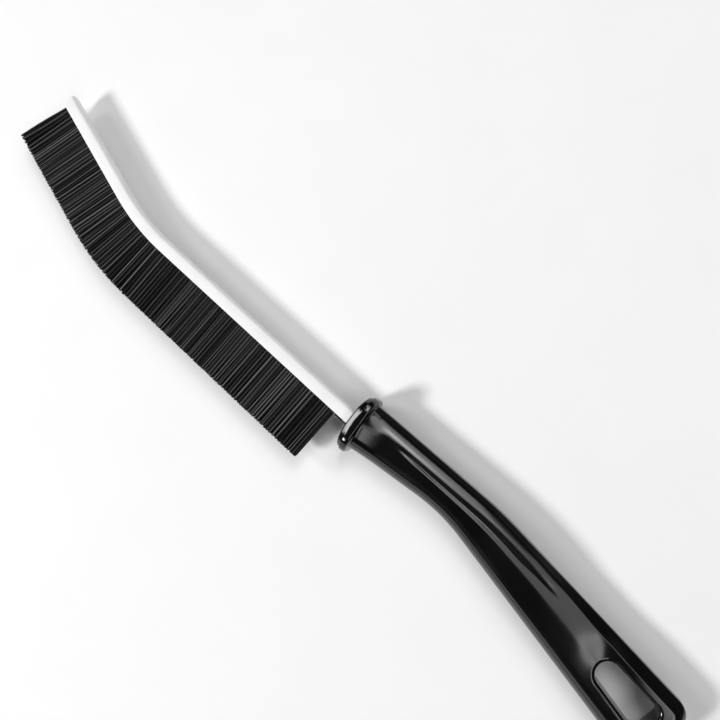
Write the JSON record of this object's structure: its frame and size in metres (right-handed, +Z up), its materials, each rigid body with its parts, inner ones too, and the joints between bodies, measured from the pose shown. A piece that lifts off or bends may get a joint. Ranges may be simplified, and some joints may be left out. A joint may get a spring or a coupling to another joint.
{
  "type": "crevice brush",
  "caption": "Slim hand brush: a bent metal channel with a row of stiff bristles, a domed guard, and a curved plastic handle with a tapered hang slot.",
  "frame": {"origin": "under the middle of the whole brush's box, on the surface that it lies on", "axes": "+X along the channel's main run towards the tip, +Y towards the bristle tips, +Z up through the brush's thickness as it lies on its side"},
  "size_m": [0.237, 0.032, 0.013],
  "materials": {
    "black_plastic": "glossy moulded black",
    "channel_metal": "pale satin, rolled and folded",
    "wire_steel": "bright drawn wire",
    "bristle_nylon": "black extruded filament"
  },
  "bodies": {
    "brush": {"handle": "black_plastic", "channel": "channel_metal", "core_wire": "wire_steel", "bristle_roots": "bristle_nylon"},
    "tuft_01": {"bristle_tuft_01": "bristle_nylon"},
    "tuft_02": {"bristle_tuft_02": "bristle_nylon"},
    "tuft_03": {"bristle_tuft_03": "bristle_nylon"},
    "tuft_04": {"bristle_tuft_04": "bristle_nylon"},
    "tuft_05": {"bristle_tuft_05": "bristle_nylon"},
    "tuft_06": {"bristle_tuft_06": "bristle_nylon"},
    "tuft_07": {"bristle_tuft_07": "bristle_nylon"},
    "tuft_08": {"bristle_tuft_08": "bristle_nylon"},
    "tuft_09": {"bristle_tuft_09": "bristle_nylon"},
    "tuft_10": {"bristle_tuft_10": "bristle_nylon"},
    "tuft_11": {"bristle_tuft_11": "bristle_nylon"},
    "tuft_12": {"bristle_tuft_12": "bristle_nylon"},
    "tuft_13": {"bristle_tuft_13": "bristle_nylon"},
    "tuft_14": {"bristle_tuft_14": "bristle_nylon"},
    "tuft_15": {"bristle_tuft_15": "bristle_nylon"},
    "tuft_16": {"bristle_tuft_16": "bristle_nylon"},
    "tuft_17": {"bristle_tuft_17": "bristle_nylon"},
    "tuft_18": {"bristle_tuft_18": "bristle_nylon"},
    "tuft_19": {"bristle_tuft_19": "bristle_nylon"},
    "tuft_20": {"bristle_tuft_20": "bristle_nylon"}
  },
  "joints": [
    {"name": "tuft_01_flex", "type": "hinge", "parent": "brush", "child": "tuft_01", "pos_m": [-0.00224, 0.00173, 0.0065], "axis": [1, 0, 0], "range_deg": [-25, 25], "stiffness_Nm_per_rad": 0.02},
    {"name": "tuft_02_flex", "type": "hinge", "parent": "brush", "child": "tuft_02", "pos_m": [0.00381, 0.00173, 0.0065], "axis": [1, 0, 0], "range_deg": [-25, 25], "stiffness_Nm_per_rad": 0.02},
    {"name": "tuft_03_flex", "type": "hinge", "parent": "brush", "child": "tuft_03", "pos_m": [0.00985, 0.00173, 0.0065], "axis": [1, 0, 0], "range_deg": [-25, 25], "stiffness_Nm_per_rad": 0.02},
    {"name": "tuft_04_flex", "type": "hinge", "parent": "brush", "child": "tuft_04", "pos_m": [0.0159, 0.00173, 0.0065], "axis": [1, 0, 0], "range_deg": [-25, 25], "stiffness_Nm_per_rad": 0.02},
    {"name": "tuft_05_flex", "type": "hinge", "parent": "brush", "child": "tuft_05", "pos_m": [0.02195, 0.00173, 0.0065], "axis": [1, 0, 0], "range_deg": [-25, 25], "stiffness_Nm_per_rad": 0.02},
    {"name": "tuft_06_flex", "type": "hinge", "parent": "brush", "child": "tuft_06", "pos_m": [0.02799, 0.00173, 0.0065], "axis": [1, 0, 0], "range_deg": [-25, 25], "stiffness_Nm_per_rad": 0.02},
    {"name": "tuft_07_flex", "type": "hinge", "parent": "brush", "child": "tuft_07", "pos_m": [0.03404, 0.00173, 0.0065], "axis": [1, 0, 0], "range_deg": [-25, 25], "stiffness_Nm_per_rad": 0.02},
    {"name": "tuft_08_flex", "type": "hinge", "parent": "brush", "child": "tuft_08", "pos_m": [0.04008, 0.00173, 0.0065], "axis": [1, 0, 0], "range_deg": [-25, 25], "stiffness_Nm_per_rad": 0.02},
    {"name": "tuft_09_flex", "type": "hinge", "parent": "brush", "child": "tuft_09", "pos_m": [0.04613, 0.00173, 0.0065], "axis": [1, 0, 0], "range_deg": [-25, 25], "stiffness_Nm_per_rad": 0.02},
    {"name": "tuft_10_flex", "type": "hinge", "parent": "brush", "child": "tuft_10", "pos_m": [0.05217, 0.00173, 0.0065], "axis": [1, 0, 0], "range_deg": [-25, 25], "stiffness_Nm_per_rad": 0.02},
    {"name": "tuft_11_flex", "type": "hinge", "parent": "brush", "child": "tuft_11", "pos_m": [0.05822, 0.00173, 0.0065], "axis": [1, 0, 0], "range_deg": [-25, 25], "stiffness_Nm_per_rad": 0.02},
    {"name": "tuft_12_flex", "type": "hinge", "parent": "brush", "child": "tuft_12", "pos_m": [0.06387, 0.00168, 0.0065], "axis": [0.9993, -0.0366, 0], "range_deg": [-25, 25], "stiffness_Nm_per_rad": 0.02},
    {"name": "tuft_13_flex", "type": "hinge", "parent": "brush", "child": "tuft_13", "pos_m": [0.06912, 0.0013, 0.0065], "axis": [0.994, -0.1097, 0], "range_deg": [-25, 25], "stiffness_Nm_per_rad": 0.02},
    {"name": "tuft_14_flex", "type": "hinge", "parent": "brush", "child": "tuft_14", "pos_m": [0.07433, 0.00053, 0.0065], "axis": [0.9833, -0.1822, 0], "range_deg": [-25, 25], "stiffness_Nm_per_rad": 0.02},
    {"name": "tuft_15_flex", "type": "hinge", "parent": "brush", "child": "tuft_15", "pos_m": [0.07946, -0.00062, 0.0065], "axis": [0.9673, -0.2538, 0], "range_deg": [-25, 25], "stiffness_Nm_per_rad": 0.02},
    {"name": "tuft_16_flex", "type": "hinge", "parent": "brush", "child": "tuft_16", "pos_m": [0.08509, -0.00227, 0.0065], "axis": [0.9573, -0.289, 0], "range_deg": [-25, 25], "stiffness_Nm_per_rad": 0.02},
    {"name": "tuft_17_flex", "type": "hinge", "parent": "brush", "child": "tuft_17", "pos_m": [0.09127, -0.00413, 0.0065], "axis": [0.9573, -0.289, 0], "range_deg": [-25, 25], "stiffness_Nm_per_rad": 0.02},
    {"name": "tuft_18_flex", "type": "hinge", "parent": "brush", "child": "tuft_18", "pos_m": [0.09745, -0.006, 0.0065], "axis": [0.9573, -0.289, 0], "range_deg": [-25, 25], "stiffness_Nm_per_rad": 0.02},
    {"name": "tuft_19_flex", "type": "hinge", "parent": "brush", "child": "tuft_19", "pos_m": [0.10364, -0.00787, 0.0065], "axis": [0.9573, -0.289, 0], "range_deg": [-25, 25], "stiffness_Nm_per_rad": 0.02},
    {"name": "tuft_20_flex", "type": "hinge", "parent": "brush", "child": "tuft_20", "pos_m": [0.10982, -0.00974, 0.0065], "axis": [0.9573, -0.289, 0], "range_deg": [-25, 25], "stiffness_Nm_per_rad": 0.02}
  ]
}
